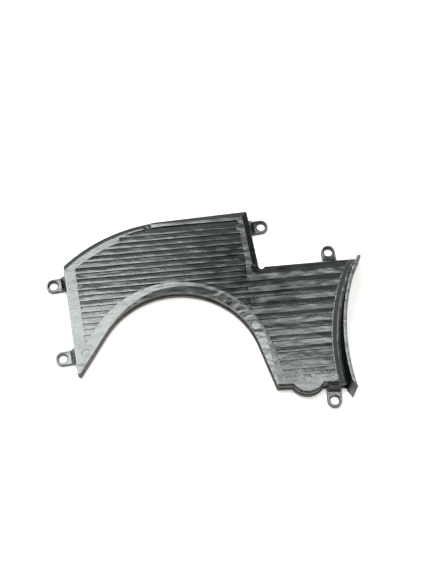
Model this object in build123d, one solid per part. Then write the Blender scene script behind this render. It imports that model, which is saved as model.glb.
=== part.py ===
from build123d import *
import os
from math import atan2, cos, degrees, radians, sin, sqrt, tan

# Air deflector for a belt drive housing: one black moulding.
# A shallow tray lies over a round bay. Its face carries sawtooth ribs, its rim slopes away,
# five drilled ears stand on the mounting plane, and a tall curved wall closes the outlet side.
# Plan coordinates start at the centre of the bay, with +X along the ribs and +Z up.
# All lengths are in millimetres and all angles in degrees.

# Tray section
FACE_Z = 9.0
RIM_Z = 8.0
WALL = 2.2
SKIN = 2.8
SKIRT_Z = 4.0
SKIRT_OUT = 0.6

# Plan of the tray
BAY_RADIUS = 61.4
BAY_RIGHT_ANGLE = 15.7
BAY_LEFT_ANGLE = 145.7
RIGHT_FLANK = 35.0
LEFT_FLANK = 37.6
LEFT_LEAN = 4.8
SHOULDER_RADIUS = 120.4
SHOULDER_SWEEP = 60.0
CROWN_SLOPE = 2.4
CROWN_LENGTH = 66.2
STEP_LEAN = 5.0
SHELF_Y = 76.1
RELIEF_RADIUS = 2.2
RELIEF_OUT = 2.2
RELIEF_UP = 0.6
FOOT_SLOPE = -3.6
LOBE_RADIUS = 13.4
LOBE_AT = 21.4
LOBE_IN = 7.9
TIP_ROUND = 1.2

# Outlet wall, an arc that is hollow towards +X
OUTLET_X = 263.7
OUTLET_Y = -1.8
OUTLET_RADIUS = 144.6
OUTLET_WALL = 2.5
OUTLET_Z = 28.5
GROOVE_WIDTH = 1.3
GROOVE_Z = 7.6
OUTLET_BACK_LEAN = 17.5
OUTLET_TAIL = 2.6
TAIL_RAKE = -57.0
LIP_WIDTH = 1.6
LIP_DEPTH = 0.8
OUTLET_FIRST = 140.0
OUTLET_SWEEP = 60.0

# Sloping rim
BEVEL = 4.2
CROWN_BEVEL_DROP = 0.4
SHELF_BEVEL = 5.8
SHOULDER_BEVEL = 3.3
SHOULDER_BEVEL_FROM = 96.0
BAY_BEVEL = 6.0
BAY_BEVEL_X = 4.4
BAY_BEVEL_Y = 3.9
BAY_BEVEL_OUT = 0.8
FLANK_BEVEL_HEADING = -82.3
OUTLET_LEDGE = 1.3
OUTLET_BEVEL = 2.8
FOOT_BEVEL = 1.6
LOBE_BEVEL = 1.4
TAIL_BEVEL = 2.6

# Ribbed field inside the flat border
FIELD_INSET = 8.4
OUTLET_BORDER = 0.8
CROWN_LAND = 2.3
CROWN_FIELD_LEFT = -36.5
CROWN_FIELD_RISE = 4.2
FOOT_FIELD_DROP = 2.5
STEP_FIELD_IN = 9.2

# Sawtooth ribs, counted down from the first crest
RIB_PITCH = 4.43
FIRST_CREST_DROP = 8.7
RIB_RISER = 0.35
RIB_LAND = 0.3
RIB_ROLL = 8.0
ODD_TILT = 12.0
EVEN_TILT = 9.5
FADE_FROM = 9
FADE_STEP = 0.06
FADE_LEAST = 0.35
LEFT_COUNT = 27
RIGHT_TOP = 10
STEPPED_RIBS = (11, 13, 15)
STEPPED_TILT = 11.0
MID_STEP = 0.3
WIDE_RIBS = (17, 19, 21, 23)
WIDE_TILT = 8.0
LAST_PITCHES = (6.4, 7.0, 4.7, 2.2)
LAST_TILT = 4.0

# Ears
EAR_REACH = 9.6
STEP_EAR_REACH = 9.0
EAR_RADIUS = 5.25
EAR_HOLE = 6.4
EAR_Z = 3.5
EAR_EDGE = 0.5
EAR_RIM = 1.1
EAR_RECESS = 0.4
HOLE_CHAMFER = 0.6
RAMP_REACH = 3.6
RAMP_ROUND = 3.4
LEFT_EAR_AT = 12.2
LEFT_EAR_SPACING = 57.7
STEP_EAR_AT = 35.0
SHELF_EAR_AT = 18.2
FOOT_EAR_AT = 40.0

# Ejector marks and the gate scar
MARK_RADIUS = 3.15
MARK_SINK = 0.2
FLANK_MARK_ANGLE = 27.4
FLANK_MARK_OUT = 3.9
TIP_MARK_AT = 20.3
TIP_MARK_IN = 4.2
STEP_MARK_BACK = 6.3
STEP_MARK_IN = 13.1
LOBE_MARK_DOWN = 3.2
GATE_X = -15.0
GATE_IN = 3.2
GATE_RADIUS = 5.5
GATE_DEPTH = 0.9

# How far cuts pass the faces that they open, and past the ends of the part
OVER = 2.0
RUN_OUT = 12.0
REACH = 400.0


def polar(radius, angle):
    return Vector(radius * cos(radians(angle)), radius * sin(radians(angle)))


def meet_circle(start, heading, centre, radius):
    """The first point past start, along heading, that lies on the circle."""
    to_centre = centre - start
    along = to_centre.dot(heading)
    beside = to_centre.length**2 - along**2
    return start + heading * (along - sqrt(radius**2 - beside))


def bearing(point, centre):
    return degrees(atan2(point.Y - centre.Y, point.X - centre.X))


CENTRE = Vector(0, 0)
OUTLET_CENTRE = Vector(OUTLET_X, OUTLET_Y)
OUTLET_INNER = OUTLET_RADIUS + OUTLET_WALL
PANEL_EDGE = OUTLET_INNER + GROOVE_WIDTH

bay_right = polar(BAY_RADIUS, BAY_RIGHT_ANGLE)
bay_left = polar(BAY_RADIUS, BAY_LEFT_ANGLE)
foot_left = bay_right + polar(RIGHT_FLANK, BAY_RIGHT_ANGLE - 90)
foot_way = polar(1, FOOT_SLOPE)
lobe_centre = foot_left + foot_way * LOBE_AT + polar(LOBE_IN, FOOT_SLOPE + 90)
left_tip = bay_left + polar(LEFT_FLANK, BAY_LEFT_ANGLE + 90)
left_up = polar(1, 90 + LEFT_LEAN)
left_top = left_tip + left_up * (
    sqrt(SHOULDER_RADIUS**2 - left_tip.length**2 + left_tip.dot(left_up) ** 2) - left_tip.dot(left_up)
)
crown_start = polar(SHOULDER_RADIUS, 90 + CROWN_SLOPE)
step_top = crown_start + polar(CROWN_LENGTH, CROWN_SLOPE)
step_foot = Vector(step_top.X + (step_top.Y - SHELF_Y) * tan(radians(STEP_LEAN)), SHELF_Y)
relief_centre = step_foot + Vector(RELIEF_OUT, RELIEF_UP)
crown_land_y = step_top.Y - CROWN_BEVEL_DROP - BEVEL
first_crest_y = crown_land_y - FIRST_CREST_DROP
right_field_x = step_foot.X - STEP_FIELD_IN


def outlet_corners(radius):
    """Where the shelf and the foot of the tray meet an arc about the outlet's centre."""
    shelf_end = meet_circle(step_foot, Vector(1, 0), OUTLET_CENTRE, radius)
    foot_end = meet_circle(foot_left, foot_way, OUTLET_CENTRE, radius)
    return shelf_end, foot_end


def arc_between(centre, start, end, clockwise=False):
    first = bearing(start, centre)
    sweep = (bearing(end, centre) - first) % 360
    if clockwise:
        sweep -= 360
    return CenterArc(centre, (start - centre).length, first, sweep)


def tray_plan(outlet_radius):
    """The tray's outline, counter-clockwise, ending at the given arc on the outlet side."""
    shelf_end, foot_end = outlet_corners(outlet_radius)
    edges = [
        Line(foot_left, foot_end),
        arc_between(OUTLET_CENTRE, foot_end, shelf_end, clockwise=True),
        Line(shelf_end, step_foot),
        Line(step_foot, step_top),
        Line(step_top, crown_start),
        arc_between(CENTRE, crown_start, left_top),
        Line(left_top, left_tip),
        Line(left_tip, bay_left),
        arc_between(CENTRE, bay_left, bay_right, clockwise=True),
        Line(bay_right, foot_left),
    ]
    plan = make_face(Wire(edges))
    tip = plan.vertices().sort_by_distance((left_tip.X, left_tip.Y, 0))[0]
    return fillet(tip, TIP_ROUND) - Pos(relief_centre.X, relief_centre.Y) * Circle(RELIEF_RADIUS)


def with_lobe(plan):
    return plan + Pos(lobe_centre.X, lobe_centre.Y) * Circle(LOBE_RADIUS)


def straight_cut(start, end, section):
    """Sweep a section along a straight edge. The section's X points into the tray."""
    heading = (end - start).normalized()
    inward = Vector(-heading.Y, heading.X)
    plane = Plane(origin=start, x_dir=inward, z_dir=heading)
    return extrude(plane * section, (end - start).length)


def round_cut(centre, first, sweep, section):
    """Turn a section about an upright axis. The section's X is the distance from that axis."""
    turned = revolve(Plane.XZ * section, Axis.Z, sweep)
    return Pos(centre.X, centre.Y) * Rot(0, 0, first) * turned


def bevel_section(edge, width, side):
    """The wedge taken off the rim. Side is 1 where the tray lies at larger X, and -1 elsewhere."""
    return make_face(
        Polyline(
            (edge - side * OVER, RIM_Z),
            (edge, RIM_Z),
            (edge + side * width, FACE_Z),
            (edge + side * width, FACE_Z + OVER),
            (edge - side * OVER, FACE_Z + OVER),
            close=True,
        )
    )


def corner_cut(corner, width):
    """The cone that carries a rim of this width round an inward corner."""
    rise = FACE_Z - RIM_Z
    cone = Cone(0, 2 * width, 2 * rise, align=(Align.CENTER, Align.CENTER, Align.MIN))
    return Pos(corner.X, corner.Y, RIM_Z) * cone


def outlet_sweep(section):
    """Turn a section about the outlet's centre, past both ends of the tray."""
    return round_cut(OUTLET_CENTRE, OUTLET_FIRST, OUTLET_SWEEP, section)


def upper_bevels():
    """The sloping rim of the crown, the shoulder, the step and the shelf."""
    straight = bevel_section(0, BEVEL, 1)
    step_up = (step_top - step_foot).normalized()
    shelf_end = outlet_corners(PANEL_EDGE)[0]
    crown_edge = crown_land_y + BEVEL
    shoulder = bevel_section(SHOULDER_RADIUS, SHOULDER_BEVEL, -1)
    return [
        straight_cut(Vector(step_top.X + RUN_OUT, crown_edge), Vector(left_top.X, crown_edge), straight),
        round_cut(CENTRE, SHOULDER_BEVEL_FROM, SHOULDER_SWEEP, shoulder),
        straight_cut(step_foot, step_top + step_up * RUN_OUT, straight),
        straight_cut(shelf_end + Vector(RUN_OUT, 0), step_foot, bevel_section(0, SHELF_BEVEL, 1)),
        corner_cut(step_foot, SHELF_BEVEL),
    ]


def bay_bevels():
    """The bay's rim, widest on the right. It dies out on the left and towards the foot."""
    centre = Vector(BAY_BEVEL_X, BAY_BEVEL_Y)
    first = bearing(bay_right, centre)
    sweep = bearing(bay_left, centre) - first
    top = BAY_RADIUS + BAY_BEVEL_OUT
    flank_start = centre + polar(top, first)
    flank_end = flank_start + polar(RIGHT_FLANK + RUN_OUT, FLANK_BEVEL_HEADING)
    return [
        round_cut(centre, first, sweep, bevel_section(top - BAY_BEVEL, BAY_BEVEL, 1)),
        straight_cut(flank_start, flank_end, bevel_section(-BAY_BEVEL, BAY_BEVEL, 1)),
    ]


def foot_bevels():
    """The narrow rims along the foot and round the lobe, and the rim of the outlet side."""
    near, far = lobe_ends()
    tail = outlet_corners(PANEL_EDGE)[1] + foot_way * RUN_OUT
    first = bearing(near, lobe_centre)
    sweep = bearing(far, lobe_centre) - first
    return [
        straight_cut(foot_left - foot_way * RUN_OUT, near, bevel_section(0, FOOT_BEVEL, 1)),
        round_cut(lobe_centre, first, sweep, bevel_section(LOBE_RADIUS, LOBE_BEVEL, -1)),
        straight_cut(far, tail, bevel_section(0, TAIL_BEVEL, 1)),
        corner_cut(near, LOBE_BEVEL),
        corner_cut(far, LOBE_BEVEL),
        outlet_sweep(bevel_section(PANEL_EDGE + OUTLET_LEDGE, OUTLET_BEVEL, 1)),
    ]


def lobe_ends():
    """Where the lobe's circle leaves the foot and comes back to it."""
    reach = sqrt(LOBE_RADIUS**2 - LOBE_IN**2)
    middle = foot_left + foot_way * LOBE_AT
    return middle - foot_way * reach, middle + foot_way * reach


def block_of(low_x, high_x, low_y, high_y):
    """A rectangle between four plan coordinates."""
    middle = Pos((low_x + high_x) / 2, (low_y + high_y) / 2)
    return middle * Rectangle(high_x - low_x, high_y - low_y)


def crest(number):
    return first_crest_y - number * RIB_PITCH


def rib_field():
    """The inset outline that the ribs are cut in, raised at the crown and dropped at the foot."""
    outlet_edge = PANEL_EDGE + OUTLET_LEDGE + OUTLET_BEVEL + OUTLET_BORDER - FIELD_INSET
    inset = offset(tray_plan(outlet_edge), -FIELD_INSET)
    crown_box = block_of(CROWN_FIELD_LEFT, REACH, crest(2), crown_land_y - CROWN_LAND)
    foot_box = block_of(CROWN_FIELD_LEFT, REACH, -REACH, crest(WIDE_RIBS[-1]))
    crown = Pos(0, CROWN_FIELD_RISE) * inset & crown_box
    foot = Pos(0, -FOOT_FIELD_DROP) * inset & foot_box
    return inset + crown + foot


def roll_over(tilt):
    """How far the rounded top of a tread reaches along Y, and how far it drops."""
    return RIB_ROLL * sin(radians(tilt)), RIB_ROLL * (1 - cos(radians(tilt)))


def tread_foot_z(top, low, tilt):
    reach, drop = roll_over(tilt)
    climb = top - RIB_RISER - low - RIB_LAND - reach
    return FACE_Z - drop - climb * tan(radians(tilt))


def rib_tooth(top, low, tilt):
    """The groove between two crests: a steep riser, then a tread that climbs and rolls over."""
    land = low + RIB_LAND
    foot = Vector(top - RIB_RISER, tread_foot_z(top, low, tilt))
    reach, drop = roll_over(tilt)
    half_reach, half_drop = roll_over(tilt / 2)
    roll_start = Vector(land + reach, FACE_Z - drop)
    roll_middle = Vector(land + half_reach, FACE_Z - half_drop)
    above = FACE_Z + OVER
    faceted = Polyline((land, FACE_Z), (land, above), (top, above), (top, FACE_Z), foot, roll_start)
    return make_face([faceted, ThreePointArc(roll_start, roll_middle, (land, FACE_Z))])


def wide_tooth(top, low, tilt, mid_step):
    """A wide groove: a riser, a level floor, a step down where there is one, and a tread."""
    half = (top + low) / 2
    floor = tread_foot_z(half, low, tilt) + mid_step
    foot = half - RIB_RISER
    shelf = Polyline(
        (top, FACE_Z + OVER),
        (top, FACE_Z),
        (top - RIB_RISER, floor),
        (foot, floor),
        (foot, FACE_Z + OVER),
        close=True,
    )
    return [make_face(shelf), rib_tooth(half, low, tilt)]


def left_teeth():
    """Narrow ribs, alternately steep and shallow, which fade towards the left tip."""
    teeth = [rib_tooth(crest(-2), crest(0), EVEN_TILT)]
    for number in range(LEFT_COUNT):
        tilt = ODD_TILT if number % 2 else EVEN_TILT
        fade = max(FADE_LEAST, 1 - FADE_STEP * max(0, number - FADE_FROM))
        teeth.append(rib_tooth(crest(number), crest(number + 1), tilt * fade))
    return teeth


def right_teeth():
    """Stepped pairs below the shelf, then wide ribs, then shallow ones down to the foot."""
    teeth = [rib_tooth(crest(RIGHT_TOP), crest(RIGHT_TOP + 1), STEPPED_TILT)]
    for number in STEPPED_RIBS:
        teeth += wide_tooth(crest(number), crest(number + 2), STEPPED_TILT, MID_STEP)
    for number in WIDE_RIBS[:-1]:
        teeth += wide_tooth(crest(number), crest(number + 2), WIDE_TILT, 0)
    top = crest(WIDE_RIBS[-1])
    for pitch in LAST_PITCHES:
        teeth.append(rib_tooth(top, top - pitch, LAST_TILT))
        top -= pitch
    return teeth


def rib_cuts():
    """Both sets of ribs, each inside its own part of the field."""
    field = rib_field()
    right_side = block_of(right_field_x, REACH, -REACH, REACH)
    right_zone = block_of(right_field_x, REACH, -REACH, crest(RIGHT_TOP))
    zones = [(left_teeth(), field - right_side), (right_teeth(), field & right_zone)]
    cuts = []
    for teeth, zone in zones:
        block = Pos(0, 0, FACE_Z - SKIN / 2) * extrude(zone, SKIN)
        for tooth in teeth:
            cuts.append(block & extrude(Plane.YZ * tooth, REACH, both=True))
    return cuts


def tray():
    """The hollow tray with its stepped skirt, its sloping rim and its ribbed face."""
    plan = with_lobe(tray_plan(OUTLET_RADIUS + OUTLET_WALL / 2))
    hollow = offset(with_lobe(tray_plan(OUTLET_RADIUS)), -WALL)
    body = extrude(plan, FACE_Z) + extrude(offset(plan, SKIRT_OUT), SKIRT_Z)
    body -= extrude(hollow, FACE_Z - SKIN)
    body -= upper_bevels() + bay_bevels() + foot_bevels()
    groove = make_face(
        Polyline(
            (OUTLET_INNER, GROOVE_Z),
            (PANEL_EDGE, GROOVE_Z),
            (PANEL_EDGE, FACE_Z + OVER),
            (OUTLET_INNER, FACE_Z + OVER),
            close=True,
        )
    )
    body -= outlet_sweep(groove)
    return body - rib_cuts()


def outlet_wall():
    """The tall curved wall: a rebated lip on top, a sloping back end and a raked tail."""
    section = Pos(OUTLET_RADIUS + OUTLET_WALL / 2, OUTLET_Z / 2) * Rectangle(OUTLET_WALL, OUTLET_Z)
    ledge = OUTLET_WALL - LIP_WIDTH
    rebate = Pos(OUTLET_RADIUS + ledge / 2, OUTLET_Z) * Rectangle(ledge, 2 * LIP_DEPTH)
    wall = outlet_sweep(section - rebate)
    return wall - wall_back() - wall_tail()


def wall_back():
    """What lies behind the wall's back end, which leans forward above the tray's face."""
    lean = (OUTLET_Z - FACE_Z) * tan(radians(OUTLET_BACK_LEAN))
    side = Polyline(
        (SHELF_Y, -OVER),
        (SHELF_Y, FACE_Z),
        (SHELF_Y - lean, OUTLET_Z),
        (SHELF_Y - lean, OUTLET_Z + OVER),
        (SHELF_Y + REACH, OUTLET_Z + OVER),
        (SHELF_Y + REACH, -OVER),
        close=True,
    )
    return extrude(Plane.YZ * make_face(side), REACH, both=True)


def wall_tail():
    """What lies past the wall's raked tail, in front of the tray's foot."""
    foot_end = outlet_corners(OUTLET_INNER)[1]
    turn = degrees(OUTLET_TAIL / OUTLET_INNER)
    tail = OUTLET_CENTRE + polar(OUTLET_INNER, bearing(foot_end, OUTLET_CENTRE) + turn)
    past = Pos(tail.X, tail.Y) * Rot(0, 0, TAIL_RAKE) * Pos(0, -REACH / 2) * Rectangle(REACH, REACH)
    return extrude(past, OUTLET_Z)


def ear_slab(start, reach, radius, thickness):
    """A plate from X = start that ends in a half circle about the hole."""
    plate = Pos((start + reach) / 2, 0) * Rectangle(reach - start, 2 * radius)
    return extrude(plate + Pos(reach, 0) * Circle(radius), thickness)


def ear_blank(reach):
    """The ear with its shallow dish, drawn along +X from the tray's edge."""
    tab = ear_slab(-WALL, reach, EAR_RADIUS, EAR_Z)
    tab = fillet(tab.faces().sort_by(Axis.Z)[-1].edges(), EAR_EDGE)
    return tab - Pos(0, 0, EAR_Z - EAR_RECESS) * ear_slab(0, reach, EAR_RADIUS - EAR_RIM, EAR_RECESS)


def ear_ramp():
    """The ramp from the ear up to the rim. It is rounded on top, and it dies into the dish."""
    arch = Pos(0, RIM_Z / 2) * Rectangle(2 * EAR_RADIUS, RIM_Z)
    arch = fillet(arch.vertices().group_by(Axis.Y)[-1], RAMP_ROUND)
    foot = (RAMP_REACH, EAR_Z - EAR_RECESS)
    above = Polyline((0, RIM_Z), foot, (RAMP_REACH, RIM_Z + OVER), (0, RIM_Z + OVER), close=True)
    hood = Pos(-WALL, 0, 0) * extrude(Plane.YZ * arch, WALL + RAMP_REACH)
    return hood - extrude(Plane.XZ * make_face(above), REACH, both=True)


def ear_hole():
    """The bore, with a chamfer where it opens into the dish."""
    radius = EAR_HOLE / 2
    top = EAR_Z - EAR_RECESS
    chamfer_cut = Cone(radius, radius + 2 * HOLE_CHAMFER, 2 * HOLE_CHAMFER)
    return extrude(Circle(radius), EAR_Z) + Pos(0, 0, top) * chamfer_cut


def ear(root, outward, reach):
    """One drilled ear turned to its place, and the tool that drills it."""
    place = Location((root.X, root.Y, 0), (0, 0, degrees(atan2(outward.Y, outward.X))))
    return place * (ear_blank(reach) + ear_ramp()), place * (Pos(reach, 0) * ear_hole())


def ear_places():
    """Roots on the tray's edge, each with its ear's direction and the reach to the hole."""
    shelf_end = outlet_corners(PANEL_EDGE)[0]
    left_out = Vector(-left_up.Y, left_up.X)
    left_first = left_top - left_up * LEFT_EAR_AT
    step_up = (step_top - step_foot).normalized()
    return [
        (left_first, left_out, EAR_REACH),
        (left_first - left_up * LEFT_EAR_SPACING, left_out, EAR_REACH),
        (step_foot + step_up * STEP_EAR_AT, Vector(step_up.Y, -step_up.X), STEP_EAR_REACH),
        (shelf_end - Vector(SHELF_EAR_AT, 0), Vector(0, 1), EAR_REACH),
        (foot_left + foot_way * FOOT_EAR_AT, Vector(foot_way.Y, -foot_way.X), EAR_REACH),
    ]


def mark_places():
    """Ejector marks beside the bay, on the left tip, under the step's top corner and on the lobe."""
    tip_way = polar(1, BAY_LEFT_ANGLE + 90)
    return [
        polar(BAY_RADIUS + FLANK_MARK_OUT, FLANK_MARK_ANGLE),
        bay_left + tip_way * TIP_MARK_AT + polar(TIP_MARK_IN, BAY_LEFT_ANGLE),
        step_top - Vector(STEP_MARK_BACK, STEP_MARK_IN),
        lobe_centre - Vector(0, LOBE_MARK_DOWN),
    ]


def mark_surface(body):
    """Flat discs left by the ejector pins, and the shallow dish of the gate."""
    low = FACE_Z - SKIN
    flat = FACE_Z - MARK_SINK
    for place in mark_places():
        body += Pos(place.X, place.Y, low) * extrude(Circle(MARK_RADIUS), flat - low)
        body -= Pos(place.X, place.Y, flat) * extrude(Circle(MARK_RADIUS), OVER)
    gate = Vector(GATE_X, sqrt(SHOULDER_RADIUS**2 - GATE_X**2) - GATE_IN)
    return body - Pos(gate.X, gate.Y, FACE_Z - GATE_DEPTH + GATE_RADIUS) * Sphere(GATE_RADIUS)


def main():
    body = mark_surface(tray()) + outlet_wall()
    holes = []
    for root, outward, reach in ear_places():
        lug, hole = ear(root, outward, reach)
        body += lug
        holes.append(hole)
    body -= holes
    box = body.bounding_box()
    to_origin = Pos(-box.center().X, -box.center().Y, -box.min.Z)
    body = to_origin * body
    body.label = "air_deflector"
    for root, outward, reach in ear_places():
        centre = root + outward * reach + to_origin.position
        print(f"ear hole at {centre.X:.3f}, {centre.Y:.3f}")
    print(f"bay centre at {to_origin.position.X:.3f}, {to_origin.position.Y:.3f}, size {box.size}")
    os.makedirs("parts", exist_ok=True)
    export_step(body, "parts/air_deflector.step")


main()
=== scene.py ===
# %% [markdown]
# This lesson dresses an air deflector for a belt drive: one black moulding with a ribbed face.
# The real part is a single piece of hard plastic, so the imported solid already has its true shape.
# The work here is the skin of the plastic, the light on it and the white floor under it.

# %% Load the moulding
import math

import bpy
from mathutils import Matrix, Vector

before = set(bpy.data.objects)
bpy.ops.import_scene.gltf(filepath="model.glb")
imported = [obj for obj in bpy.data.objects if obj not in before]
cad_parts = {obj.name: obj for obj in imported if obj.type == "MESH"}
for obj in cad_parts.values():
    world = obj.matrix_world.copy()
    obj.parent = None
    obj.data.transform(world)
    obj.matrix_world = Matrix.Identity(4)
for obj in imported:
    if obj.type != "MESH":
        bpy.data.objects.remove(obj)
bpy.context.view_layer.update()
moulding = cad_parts["air_deflector"]
MM = 0.001

# %% [markdown]
# The camera comes early, because every later choice is judged through it. The part was photographed from
# above and in front, about 23 degrees off the vertical, with a longish lens. A camera could be turned by
# three typed angles, but a look-at point on the floor is easier to reason about: the direction from the
# eye to that point becomes the rotation.

# %% Camera
EYE = Vector((-0.02105, -0.26459, 0.68796))
LOOK_AT = Vector((0.00667, 0.02328, 0.0))
SENSOR = 36.0
FOCAL_PIXELS = 1000.0
PICTURE_HEIGHT = 571.0
CLIP_START = 0.01

camera_data = bpy.data.cameras.new("camera")
camera_data.sensor_fit = "AUTO"
camera_data.sensor_width = SENSOR
camera_data.lens = SENSOR * FOCAL_PIXELS / PICTURE_HEIGHT
camera_data.clip_start = CLIP_START
camera = bpy.data.objects.new("camera", camera_data)
camera.location = EYE
camera.rotation_euler = (LOOK_AT - EYE).to_track_quat("-Z", "Y").to_euler()
bpy.context.scene.collection.objects.link(camera)
bpy.context.scene.camera = camera
print("lens", round(camera_data.lens, 2), "mm, distance", round((LOOK_AT - EYE).length, 3), "m")

# %% [markdown]
# A finish is a sum of small effects, and shader nodes are easier to read as sums. They could be placed and
# wired one by one, but the sum would be lost in the wiring. This class wraps one socket, and each operator
# on it adds the Math node that does the same. Every other node comes from one function, make, which takes
# the kind of node, its settings, and the values or links of its inputs.


# %% Shader maths
class Flow:
    """One shader socket that can be added to, multiplied and so on."""

    def __init__(self, tree, socket):
        self.tree = tree
        self.socket = socket

    def math(self, operation, *others):
        inputs = dict(enumerate((self, *others)))
        return make(self.tree, "ShaderNodeMath", {"operation": operation}, inputs)

    def __add__(self, other):
        return self.math("ADD", other)

    __radd__ = __add__

    def __sub__(self, other):
        return self.math("SUBTRACT", other)

    def __rsub__(self, other):
        return make(self.tree, "ShaderNodeMath", {"operation": "SUBTRACT"}, {0: other, 1: self})

    def __mul__(self, other):
        return self.math("MULTIPLY", other)

    __rmul__ = __mul__


def make(tree, kind, settings, inputs, output=0):
    """Add one node, apply its settings, fill its inputs, and give back one output, if it has any."""
    node = tree.nodes.new(kind)
    for name, value in settings.items():
        setattr(node, name, value)
    for key, value in inputs.items():
        if isinstance(value, Flow):
            tree.links.new(value.socket, node.inputs[key])
        else:
            node.inputs[key].default_value = value
    if output is None:
        return None
    return Flow(tree, node.outputs[output])


print("shader maths ready")

# %% [markdown]
# The plastic is black, with a shine that is never even. Four measures of place are needed over and over: a
# noise that can be stretched along the ribs, a soft step between two values, the distance from a point, and
# a soft spot about one. Painted masks could do the same, but these follow the part's own millimetres and
# need no image.


# %% Helpers for places
def stretched_noise(tree, place, scale, stretch, detail=3.0, roughness=0.5):
    """Noise from 0 to 1 in the part's own metres, squeezed by the stretch along each direction."""
    mapped = make(tree, "ShaderNodeMapping", {}, {"Vector": place, "Scale": stretch})
    inputs = {"Vector": mapped, "Scale": scale, "Detail": detail, "Roughness": roughness}
    return make(tree, "ShaderNodeTexNoise", {}, inputs)


def soft_step(tree, value, low, high):
    """0 below low, 1 above high, and smooth between them."""
    inputs = {"Value": value, "From Min": low, "From Max": high, "To Min": 0.0, "To Max": 1.0}
    return make(tree, "ShaderNodeMapRange", {"interpolation_type": "SMOOTHSTEP"}, inputs)


def distance_from(tree, place, middle):
    """How far each point is from the middle, in metres."""
    return make(tree, "ShaderNodeVectorMath", {"operation": "DISTANCE"}, {0: place, 1: middle}, 1)


def soft_spot(tree, place, middle, inner, outer):
    """1 within the inner radius of a point and 0 beyond the outer one."""
    return 1.0 - soft_step(tree, distance_from(tree, place, middle), inner, outer)


def part_of(tree, vector, axis):
    """One of the X, Y and Z parts of a vector."""
    return make(tree, "ShaderNodeSeparateXYZ", {}, {"Vector": vector}, axis)


print("helpers for places ready")

# %% [markdown]
# In the photo the proud edges are pale and the inner corners are dull. The pale edges are partly wear and
# partly a painted highlight, and the dull inner corners are painted shade. Blender's ambient occlusion can
# look outwards from a face or into the body, so one small helper finds both kinds of edge. Vertex paint
# could mark them too, but it would have to be redone after each change to the solid. A clamp keeps a sum of
# several marks between 0 and 1.

# %% Helpers for edges
OCCLUSION_SAMPLES = 6


def edge_nearness(tree, reach, inside):
    """0 on open faces, rising towards proud edges (inside) or towards inner corners (not inside)."""
    settings = {"samples": OCCLUSION_SAMPLES, "inside": inside, "only_local": True}
    return 1.0 - make(tree, "ShaderNodeAmbientOcclusion", settings, {"Distance": reach}, "AO")


def clamped(tree, value):
    return make(tree, "ShaderNodeClamp", {}, {"Value": value})


print("helpers for edges ready, with", OCCLUSION_SAMPLES, "samples")

# %% [markdown]
# The highlights on the real ribs break up into lens-shaped patches. That is taken to come from shallow
# swellings, a centimetre or so long, which a ribbed moulding gets as it shrinks. Modelled swellings would
# need far more faces. A bump of about half a millimetre gives the same glints, and a Bevel node rounds the
# sharp crests so that each carries a thin bright line.

# %% Surface relief
SWELL_HEIGHT = 0.52 * MM
DRAW_HEIGHT = 0.05 * MM
GRAIN_HEIGHT = 0.003 * MM
SWELLS = {"scale": 80.0, "stretch": (1.0, 2.4, 1.0), "detail": 1.5}
GRAIN = {"scale": 1400.0, "stretch": (1.0, 1.0, 1.0), "detail": 2.0}
CREST_RADIUS = 0.35 * MM
BEVEL_SAMPLES = 8


def relief(tree, place, draws):
    """The normal of the skin: rounded edges, long swells, fine draw lines and a moulded grain."""
    normal = make(tree, "ShaderNodeBevel", {"samples": BEVEL_SAMPLES}, {"Radius": CREST_RADIUS})
    swells = stretched_noise(tree, place, **SWELLS)
    grain = stretched_noise(tree, place, **GRAIN)
    for height, depth in ((swells, SWELL_HEIGHT), (draws, DRAW_HEIGHT), (grain, GRAIN_HEIGHT)):
        inputs = {"Strength": 1.0, "Distance": depth, "Height": height, "Normal": normal}
        normal = make(tree, "ShaderNodeBump", {}, inputs)
    return normal


print("relief depths in mm", [round(v / MM, 3) for v in (SWELL_HEIGHT, DRAW_HEIGHT, GRAIN_HEIGHT)])

# %% [markdown]
# The tip and the lobe look pale and speckled in the photo, and are taken to be rubbed. A dirt texture
# could be drawn there, but a soft spot times a speckled noise gives the same broken edge. The film is also
# less smooth than the bare plastic, so its mask is used twice.

# %% Rubbed places
TIP = (-0.0924, -0.0260, 0.009)
TIP_FROM = 6.0 * MM
TIP_TO = 65.0 * MM
LOBE = (0.0635, -0.0640, 0.009)
LOBE_FROM = 6.0 * MM
LOBE_TO = 30.0 * MM
SPECKS = {"scale": 520.0, "stretch": (1.0, 1.6, 1.0), "detail": 4.0, "roughness": 0.7}
SPECK_STEP = (0.46, 0.62)


def rubbed_places(tree, place):
    """The worn tip, the worn lobe, and the speckled film that lies on both."""
    specks = stretched_noise(tree, place, **SPECKS)
    tip = soft_spot(tree, place, TIP, TIP_FROM, TIP_TO)
    lobe = soft_spot(tree, place, LOBE, LOBE_FROM, LOBE_TO)
    film = (tip + lobe) * soft_step(tree, specks, *SPECK_STEP)
    return tip, lobe, film


print("tip wear reaches", round(TIP_TO / MM), "mm, lobe wear", round(LOBE_TO / MM), "mm")

# %% [markdown]
# Crests that lie open to the sky are made pale, in strokes that follow the draw lines: a painted highlight
# with some wear. Two more places are pale in the photo: a small round mark on the bay's right flank, and
# the bevel beside the outlet wall, where the paleness is a painted highlight. The bevel could have a
# material of its own, but it follows an arc, so a band of distances from the arc's middle marks it softly.

# %% Pale edges and marks
FLANK_MARK = (0.0335, -0.0146, 0.009)
MARK_FROM = 2.9 * MM
MARK_TO = 3.3 * MM
OUTLET_MIDDLE = (0.23927, -0.04642, 0.009)
BEVEL_START = 0.1497
BEVEL_END = 0.1525
BEVEL_BLUR = 0.3 * MM
LYING_STEP = (0.60, 0.80)
CREST_REACH = 1.2 * MM
CREST_STEP = (0.15, 0.40)
STROKE_STEP = (0.30, 0.62)
STROKE_LEAST = 0.25


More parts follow.
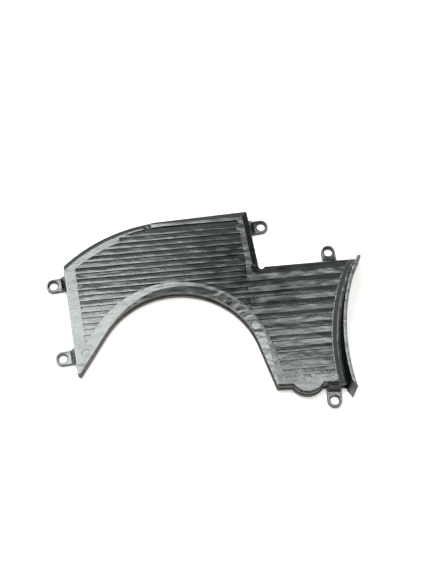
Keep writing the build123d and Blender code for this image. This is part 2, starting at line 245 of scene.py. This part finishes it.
def crest_highlights_and_wear(tree, lean, draws):
    """Painted highlight with some wear on proud edges of faces that look up, strongest along some of the
    draw lines.
    """
    proud = soft_step(tree, edge_nearness(tree, CREST_REACH, True), *CREST_STEP)
    crests = proud * soft_step(tree, lean, *LYING_STEP)
    strokes = soft_step(tree, draws, *STROKE_STEP)
    return crests * (STROKE_LEAST + (1.0 - STROKE_LEAST) * strokes)


def outlet_bevel_highlight(tree, reach):
    """1 on the bevel at the foot of the outlet wall, where a highlight is painted."""
    started = soft_step(tree, reach, BEVEL_START - BEVEL_BLUR, BEVEL_START)
    return started * (1.0 - soft_step(tree, reach, BEVEL_END, BEVEL_END + BEVEL_BLUR))


print("pale bevel from", round(BEVEL_START / MM, 1), "to", round(BEVEL_END / MM, 1), "mm")

# %% [markdown]
# The rubbed places, the crests with their painted highlight and wear, the mark and the bevel's painted
# highlight make one mask of how pale the plastic is. Each could be mixed in after the last, but a clamped
# sum shows their strengths side by side.

# %% How pale
FILM_PALE = 0.45
TIP_PALE = 0.20
LOBE_PALE = 0.10
# Crests take a painted highlight with some wear, and the bevel takes a painted highlight.
CREST_PALE = 0.90
MARK_PALE = 0.85
BEVEL_HIGHLIGHT = 0.22


def paleness(tree, place, lean, reach, draws, tip, lobe, film):
    """How much of the grey each point takes, from 0 to 1: rubbed plastic, and painted highlights on crests
    and bevel.
    """
    crests = crest_highlights_and_wear(tree, lean, draws)
    mark = soft_spot(tree, place, FLANK_MARK, MARK_FROM, MARK_TO)
    rubbed = FILM_PALE * film + TIP_PALE * tip + LOBE_PALE * lobe
    edges = CREST_PALE * crests + MARK_PALE * mark + BEVEL_HIGHLIGHT * outlet_bevel_highlight(tree, reach)
    return clamped(tree, rubbed + edges)


print("palest: crests at", CREST_PALE, "and the mark at", MARK_PALE)

# %% [markdown]
# The inner face of the outlet wall, and the groove at its foot, lie in shade and hardly shine at all in the
# photo. More roughness would still leave a grey veil there, so this mask later mixes in a plain dull black
# as painted shade. It stops short of the wall's tail, and takes only the side that faces the tray.

# %% The shaded gutter
GROOVE_START = 0.1466
GROOVE_BLUR = 0.3 * MM
GUTTER_EDGE = 0.1490
GUTTER_BLUR = 0.4 * MM
TAIL_END = -0.0700
TAIL_BLUR = 4.0 * MM
INWARD_STEP = (-0.30, 0.0)


def gutter_faces(tree, place, facing, reach):
    """The groove at the outlet wall and the wall's face towards the tray."""
    near = 1.0 - soft_step(tree, reach, GUTTER_EDGE, GUTTER_EDGE + GUTTER_BLUR)
    near = near * soft_step(tree, part_of(tree, place, "Y"), TAIL_END, TAIL_END + TAIL_BLUR)
    groove = soft_step(tree, reach, GROOVE_START, GROOVE_START + GROOVE_BLUR)
    inward = 1.0 - soft_step(tree, part_of(tree, facing, "X"), *INWARD_STEP)
    return near * clamped(tree, groove + inward)


print("gutter between", round(GROOVE_START / MM, 1), "and", round(GUTTER_EDGE / MM, 1), "mm")

# %% [markdown]
# The roots of the ribs get painted shade, and cloudy patches near the step are dull. The shade fades on the
# wide ribs at the right and at the worn tip. Dark paint in the base colour would still shine, so these
# masks join the gutter's and mix in the same dull black.

# %% Shaded roots and dull patches
ROOT_REACH = 2.2 * MM
ROOT_STEP = (0.05, 0.40)
RIGHT_STEP = (0.030, 0.060)
RIGHT_LOSS = 0.55
TIP_LOSS = 0.95
CLOUDS = {"scale": 85.0, "stretch": (1.0, 4.5, 1.0), "detail": 2.0, "roughness": 0.45}
CLOUD_STEP = (0.36, 0.60)
CLOUDED = (0.035, 0.025, 0.009)
CLOUDED_FROM = 20.0 * MM
CLOUDED_TO = 65.0 * MM
# The roots and the gutter take the dull black as painted shade, and the patches take it as a dull finish.
ROOT_SHADE = 0.95
GUTTER_SHADE = 0.90
PATCH_DULL = 0.60


def rib_root_shade(tree, place, tip):
    """Painted shade in the inner corners, weaker on the wide ribs at the right and gone at the worn tip."""
    right = soft_step(tree, part_of(tree, place, "X"), *RIGHT_STEP)
    roots = soft_step(tree, edge_nearness(tree, ROOT_REACH, False), *ROOT_STEP)
    return roots * (1.0 - RIGHT_LOSS * right) * (1.0 - TIP_LOSS * tip)


def cloudy_patches(tree, place):
    """Patches drawn out along the ribs, around the step."""
    clouds = stretched_noise(tree, place, **CLOUDS)
    patches = 1.0 - soft_step(tree, clouds, *CLOUD_STEP)
    return patches * soft_spot(tree, place, CLOUDED, CLOUDED_FROM, CLOUDED_TO)


def shade_and_dullness(tree, place, upright, gutter, tip):
    """How much of the dull black each point takes, from 0 to 1: painted shade in the roots and the gutter,
    and dull patches.
    """
    dark = ROOT_SHADE * rib_root_shade(tree, place, tip) + GUTTER_SHADE * gutter * upright
    return clamped(tree, dark + PATCH_DULL * cloudy_patches(tree, place))


print("rib roots reach", round(ROOT_REACH / MM, 1), "mm")

# %% [markdown]
# The front skirts look slightly brown in the photo, from what they mirror, so the warm tint there is a
# painted reflection. A second material would need a hard border, so the base colour is mixed instead, by
# how upright a face stands and how far it turns to the front.

# %% Skirts
UPRIGHT_STEP = (0.15, 0.45)
FRONT_STEP = (-0.40, 0.0)
SKIRT_REFLECTION_SHARE = 0.5


def upright_faces(tree, lean):
    """1 on walls and undersides, and 0 on faces that look up."""
    return 1.0 - soft_step(tree, lean, *UPRIGHT_STEP)


def front_skirt_reflection(tree, facing, upright, gutter):
    """The share of the painted warm reflection that each point takes."""
    frontal = 1.0 - soft_step(tree, part_of(tree, facing, "Y"), *FRONT_STEP)
    return upright * (1.0 - gutter) * frontal * SKIRT_REFLECTION_SHARE


print("skirts take", SKIRT_REFLECTION_SHARE, "of the warm tint")

# %% [markdown]
# The shine of the black varies in four ways, and the roughness sums them: a cloudy haze, fine lines drawn
# along the ribs, the rubbed film, and the rougher skin of upright faces. One fixed roughness would be
# simpler, but every flat band would then mirror the windows with the same sharp edge.

# %% How rough
DRAW_LINES = {"scale": 60.0, "stretch": (1.0, 9.0, 9.0), "detail": 4.0, "roughness": 0.6}
HAZE = {"scale": 45.0, "stretch": (1.0, 1.6, 1.0), "detail": 5.0, "roughness": 0.62}
SMOOTHEST = 0.12
HAZE_ROUGH = 0.16
DRAW_ROUGH = 0.10
FILM_ROUGH = 0.10
UPRIGHT_ROUGH = 0.20


def roughness_of(haze, draws, film, upright):
    """The roughness of the shiny plastic."""
    smooth = SMOOTHEST + HAZE_ROUGH * haze + DRAW_ROUGH * draws
    return smooth + FILM_ROUGH * film + UPRIGHT_ROUGH * upright


print("roughness starts at", SMOOTHEST)

# %% [markdown]
# The finish itself is a shiny shader mixed with a dull one. The shine could be a clear coat over a dull
# base, but moulded plastic has no coat. Four colours are enough: the black of the plastic, the painted warm
# reflection on the skirts, the grey of rubbed plastic and of painted highlights, and the dull black, which
# also paints shade in the rib roots and the gutter.

# %% Plastic
BLACK = (0.0055, 0.0065, 0.0062, 1.0)
# The warm colour is a painted reflection on the front skirts.
WARM_REFLECTION = (0.13, 0.095, 0.07, 1.0)
# The grey stands for rubbed plastic and for painted highlights on the crests and the bevel.
RUBBED_AND_HIGHLIGHT_GREY = (0.30, 0.31, 0.305, 1.0)
DULL_AND_SHADE_BLACK = (0.0035, 0.004, 0.0038, 1.0)
PLASTIC_IOR = 1.52


def blend(tree, share, first, second):
    """A colour between two others, by the share of the second."""
    return make(tree, "ShaderNodeMix", {"data_type": "RGBA"}, {0: share, 6: first, 7: second}, 2)


def black_plastic():
    material = bpy.data.materials.new("black_plastic")
    material.use_nodes = True
    tree = material.node_tree
    tree.nodes.clear()
    place = make(tree, "ShaderNodeTexCoord", {}, {}, "Object")
    facing = make(tree, "ShaderNodeNewGeometry", {}, {}, "Normal")
    lean = part_of(tree, facing, "Z")
    reach = distance_from(tree, place, OUTLET_MIDDLE)
    draws = stretched_noise(tree, place, **DRAW_LINES)
    haze = stretched_noise(tree, place, **HAZE)
    tip, lobe, film = rubbed_places(tree, place)
    upright = upright_faces(tree, lean)
    gutter = gutter_faces(tree, place, facing, reach)
    pale = paleness(tree, place, lean, reach, draws, tip, lobe, film)
    skirt_reflection = front_skirt_reflection(tree, facing, upright, gutter)
    colour = blend(tree, pale, blend(tree, skirt_reflection, BLACK, WARM_REFLECTION), RUBBED_AND_HIGHLIGHT_GREY)
    rough = roughness_of(haze, draws, film, upright)
    normal = relief(tree, place, draws)
    inputs = {"Base Color": colour, "Roughness": rough, "IOR": PLASTIC_IOR, "Normal": normal}
    skin = make(tree, "ShaderNodeBsdfPrincipled", {}, inputs)
    # The dull black paints shade in the rib roots and the gutter, and dulls the cloudy patches.
    shade_and_dull = make(tree, "ShaderNodeBsdfDiffuse", {}, {"Color": DULL_AND_SHADE_BLACK})
    shade_and_matt = shade_and_dullness(tree, place, upright, gutter, tip)
    both = make(tree, "ShaderNodeMixShader", {}, {0: shade_and_matt, 1: skin, 2: shade_and_dull})
    make(tree, "ShaderNodeOutputMaterial", {}, {"Surface": both}, None)
    return material


plastic = black_plastic()
moulding.data.materials.clear()
moulding.data.materials.append(plastic)
print("plastic with", len(plastic.node_tree.nodes), "nodes")

# %% [markdown]
# The part lies on a white sweep. One large plane does for it. More lamps could burn its white out, but they
# would light the black plastic as well. So the white comes from the plane's own colour and from a glow that
# only the camera and reflections see, and the soft shadow that seats the part on the floor stays.

# %% Floor
FLOOR_SIZE = 6.0
PAPER = (0.80, 0.77, 0.74, 1.0)
GLOW = (1.0, 0.985, 0.965, 1.0)
GLOW_STRENGTH = 0.62

bpy.ops.object.select_all(action="DESELECT")
bpy.ops.mesh.primitive_plane_add(size=FLOOR_SIZE, location=(0, 0, 0))
floor = bpy.context.object
floor.name = "floor"


def white_seen(tree):
    """1 for rays from the camera, from gloss and through glass, and 0 for the light that falls."""
    camera_ray = make(tree, "ShaderNodeLightPath", {}, {}, "Is Camera Ray")
    glossy_ray = make(tree, "ShaderNodeLightPath", {}, {}, "Is Glossy Ray")
    clear_ray = make(tree, "ShaderNodeLightPath", {}, {}, "Is Transmission Ray")
    return clamped(tree, camera_ray + glossy_ray + clear_ray)


def white_paper():
    material = bpy.data.materials.new("white_paper")
    material.use_nodes = True
    tree = material.node_tree
    tree.nodes.clear()
    seen = white_seen(tree)
    lit = make(tree, "ShaderNodeBsdfDiffuse", {}, {"Color": PAPER})
    glow = make(tree, "ShaderNodeEmission", {}, {"Color": GLOW, "Strength": GLOW_STRENGTH})
    both = make(tree, "ShaderNodeAddShader", {}, {0: lit, 1: glow})
    mixed = make(tree, "ShaderNodeMixShader", {}, {0: seen, 1: lit, 2: both})
    make(tree, "ShaderNodeOutputMaterial", {}, {"Surface": mixed}, None)
    return material


floor.data.materials.append(white_paper())
print("floor", FLOOR_SIZE, "m square")

# %% [markdown]
# Black plastic shows its light more than its colour: each flat band mirrors one place overhead. The bright
# and dull borders of the photo hint at where the windows were. Soft rectangles stand in for them, five of
# them a metre above the floor, with a low lamp in front and two dim walls behind. A picture of a room could
# light it as well, but lamps are easier to move one at a time. Each is given by its brightness and its
# size. Its watts follow, because a lamp of area A and power P looks P / (pi * A) bright.


# %% Lights
MIDDLE = Vector((0.0, 0.0, 0.0))
DAYLIGHT = (0.93, 1.0, 0.97)
PLAIN = (1.0, 1.0, 1.0)


def soft_light(name, place, size, brightness, colour=DAYLIGHT, turn=0.0):
    """A soft rectangle that looks at the middle of the part, as bright all over as asked."""
    width, depth = size
    data = bpy.data.lights.new(name, "AREA")
    data.shape = "RECTANGLE"
    data.size = width
    data.size_y = depth
    data.energy = math.pi * width * depth * brightness
    data.color = colour
    lamp = bpy.data.objects.new(name, data)
    lamp.location = place
    lamp.rotation_euler = (MIDDLE - Vector(place)).to_track_quat("-Z", "Y").to_euler()
    lamp.rotation_euler.rotate_axis("Z", math.radians(turn))
    bpy.context.scene.collection.objects.link(lamp)
    print(name, round(data.energy, 2), "W")


soft_light("near_window", (-0.23, 0.33, 1.0), (0.36, 0.28), 20.0, turn=12.0)
soft_light("far_window", (-0.20, 0.70, 1.0), (0.28, 0.18), 20.0)
soft_light("middle_window", (-0.02, 0.45, 1.0), (0.16, 0.15), 20.0)
soft_light("side_window", (0.22, 0.21, 1.0), (0.22, 0.18), 20.0)
soft_light("right_window", (0.20, 0.42, 1.0), (0.24, 0.12), 5.0)
soft_light("low_lamp", (0.72, -1.25, 0.39), (0.50, 0.50), 3.5, colour=PLAIN)
soft_light("left_wall", (-1.20, 1.30, 0.90), (0.90, 0.90), 3.0)
soft_light("back_wall", (0.30, 1.90, 1.25), (2.40, 0.90), 1.3)

# %% [markdown]
# The rest of the room is a faint even grey, which keeps the blacks black. Low down, where the white sweep
# of a studio would curve up, the camera and reflections see white instead. It could be a modelled backdrop,
# but a band in the world needs no mesh and casts nothing. The Standard view shows colours as written.

# %% Room and view
ROOM_COLOUR = (1.0, 1.0, 1.0, 1.0)
ROOM_STRENGTH = 0.08
BAND_FULL = 0.25
BAND_GONE = 0.50

world = bpy.data.worlds.new("room")
bpy.context.scene.world = world
world.use_nodes = True
tree = world.node_tree
tree.nodes.clear()
direction = make(tree, "ShaderNodeTexCoord", {}, {}, "Generated")
climb = part_of(tree, direction, "Z")
band = 1.0 - soft_step(tree, climb, BAND_FULL, BAND_GONE)
seen = white_seen(tree) * band
strength = ROOM_STRENGTH + (1.0 - ROOM_STRENGTH) * seen
room = make(tree, "ShaderNodeBackground", {}, {"Color": ROOM_COLOUR, "Strength": strength})
make(tree, "ShaderNodeOutputWorld", {}, {"Surface": room}, None)
bpy.context.scene.view_settings.view_transform = "Standard"
print("room strength", ROOM_STRENGTH, "band up to", BAND_GONE)
